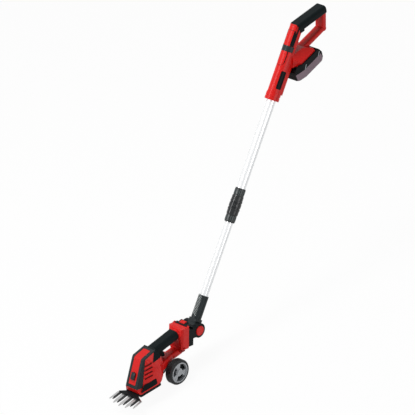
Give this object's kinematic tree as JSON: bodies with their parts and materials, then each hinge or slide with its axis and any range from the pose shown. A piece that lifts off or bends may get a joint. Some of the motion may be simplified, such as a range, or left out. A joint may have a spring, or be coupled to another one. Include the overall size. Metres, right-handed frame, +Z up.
{
  "type": "cordless grass shears on a telescopic pole",
  "caption": "Battery grass shears: a wheeled shear head with toothed blades, tilting on a telescopic aluminium pole with a looped handle and slide-on battery.",
  "frame": {"origin": "middle of the soft grip on the top handle, on the mirror plane", "axes": "+X forwards towards the blades, +Y to the user's left, +Z up, with the wheels and blade level as on a lawn"},
  "size_m": [0.9883, 0.094, 0.72],
  "materials": {
    "red_plastic": "glossy moulded plastic",
    "black_plastic": "satin moulded plastic",
    "grey_plastic": "satin moulded plastic",
    "soft_grip": "matte overmoulded rubber",
    "tube": "bright anodised tube",
    "steel": "ground steel",
    "black_steel": "black coated steel",
    "brass": "cut gear",
    "hub": "silver plastic",
    "tyre": "rubber tread",
    "cell": "wrapped cell",
    "board": "circuit board"
  },
  "bodies": {
    "handle": {"handle_shell_left": "red_plastic", "handle_shell_right": "red_plastic", "handle_soft_grip": "soft_grip", "handle_ridge_panel": "red_plastic", "handle_plaque": "black_plastic", "handle_switch": "grey_plastic", "handle_terminal_block": "black_plastic", "handle_screws": "steel", "upper_tube": "tube", "clamp_body": "black_plastic", "clamp_collet": "grey_plastic"},
    "handle_trigger": {"handle_trigger": "black_plastic"},
    "lock_button": {"handle_lock_button": "grey_plastic"},
    "battery": {"battery_case": "black_plastic", "battery_base": "grey_plastic", "battery_cells": "cell", "battery_board": "board", "battery_accents": "hub"},
    "battery_release": {"battery_release": "red_plastic"},
    "clamp_nut": {"clamp_nut": "black_plastic"},
    "lower_pole": {"lower_tube": "tube", "tube_plug": "black_plastic", "pole_socket": "grey_plastic"},
    "adapter": {"adapter_body": "grey_plastic", "pivot_pin": "steel"},
    "tilt_button": {"tilt_button": "red_plastic"},
    "adapter_latch": {"adapter_latch": "red_plastic"},
    "head": {"head_shell_left": "red_plastic", "head_shell_right": "red_plastic", "nose_frame": "grey_plastic", "nose_strip": "red_plastic", "head_soft_grip": "soft_grip", "head_plaque": "black_plastic", "head_switch": "grey_plastic", "head_screws": "steel", "base_tray": "black_plastic", "fixed_blade": "steel", "blade_cover": "black_plastic", "gearbox_housing": "grey_plastic", "gearbox_cover": "grey_plastic", "bearings": "steel", "motor_can": "steel", "wheel_bracket": "black_plastic", "wheel_axle": "steel"},
    "motor_pinion": {"motor_pinion": "brass"},
    "drive": {"drive_gear": "brass", "crank_shaft": "steel"},
    "moving_blade": {"moving_blade": "black_steel", "blade_yoke": "grey_plastic"},
    "head_trigger": {"head_trigger": "black_plastic"},
    "blade_release": {"blade_release_button": "grey_plastic"},
    "wheel_left": {"wheel_left_tyre": "tyre", "wheel_left_hub": "hub", "wheel_left_web": "black_plastic"},
    "wheel_right": {"wheel_right_tyre": "tyre", "wheel_right_hub": "hub", "wheel_right_web": "black_plastic"}
  },
  "joints": [
    {"name": "pole_slide", "type": "slide", "parent": "handle", "child": "lower_pole", "axis": [0.6851, 0, -0.7285], "range_m": [-0.19, 0]},
    {"name": "clamp_twist", "type": "hinge", "parent": "handle", "child": "clamp_nut", "pos_m": [0.39072, 0, -0.36601], "axis": [0.6851, 0, -0.7285], "range_deg": [0, 120]},
    {"name": "head_tilt", "type": "hinge", "parent": "lower_pole", "child": "adapter", "pos_m": [0.62741, 0, -0.6177], "axis": [0, 1, 0], "range_deg": [-20, 30]},
    {"name": "tilt_button_press", "type": "slide", "parent": "adapter", "child": "tilt_button", "axis": [0, -1, 0], "range_m": [0, 0.003], "stiffness_N_per_m": 600},
    {"name": "adapter_latch_press", "type": "slide", "parent": "adapter", "child": "adapter_latch", "axis": [0, 0, -1], "range_m": [0, 0.002], "stiffness_N_per_m": 600},
    {"name": "head_release", "type": "slide", "parent": "adapter", "child": "head", "axis": [0.284, 0, -0.9588], "range_m": [0, 0.065]},
    {"name": "head_trigger_pull", "type": "hinge", "parent": "head", "child": "head_trigger", "pos_m": [0.77148, 0, -0.59696], "axis": [0, 1, 0], "range_deg": [0, 8], "stiffness_Nm_per_rad": 1.5},
    {"name": "blade_release_press", "type": "slide", "parent": "head", "child": "blade_release", "axis": [-0.8339, 0, -0.552], "range_m": [0, 0.002], "stiffness_N_per_m": 600},
    {"name": "blade_stroke", "type": "slide", "parent": "head", "child": "moving_blade", "axis": [0, 1, 0], "range_m": [-0.0055, 0.0055]},
    {"name": "drive_spin", "type": "hinge", "parent": "head", "child": "drive", "pos_m": [0.84304, 0, -0.64796], "axis": [0, 0, 1], "continuous": true},
    {"name": "pinion_spin", "type": "hinge", "parent": "head", "child": "motor_pinion", "pos_m": [0.81794, 0, -0.64796], "axis": [0, 0, 1], "continuous": true},
    {"name": "wheel_left_spin", "type": "hinge", "parent": "head", "child": "wheel_left", "pos_m": [0.742, 0.036, -0.67296], "axis": [0, 1, 0], "continuous": true},
    {"name": "wheel_right_spin", "type": "hinge", "parent": "head", "child": "wheel_right", "pos_m": [0.742, -0.036, -0.67296], "axis": [0, 1, 0], "continuous": true},
    {"name": "handle_trigger_pull", "type": "hinge", "parent": "handle", "child": "handle_trigger", "pos_m": [0.0665, 0, -0.0172], "axis": [0, 1, 0], "range_deg": [0, 8], "stiffness_Nm_per_rad": 1.5},
    {"name": "lock_press", "type": "slide", "parent": "handle", "child": "lock_button", "axis": [-0.7285, 0, -0.6851], "range_m": [0, 0.0012], "stiffness_N_per_m": 600},
    {"name": "battery_slide", "type": "slide", "parent": "handle", "child": "battery", "axis": [-0.9848, 0, 0.1736], "range_m": [0, 0.1]},
    {"name": "battery_release_press", "type": "slide", "parent": "battery", "child": "battery_release", "axis": [0.9848, 0, -0.1736], "range_m": [0, 0.002], "stiffness_N_per_m": 600}
  ],
  "couplings": [
    {"joint": "pinion_spin", "follows": "drive_spin", "ratio": -3.1667}
  ]
}
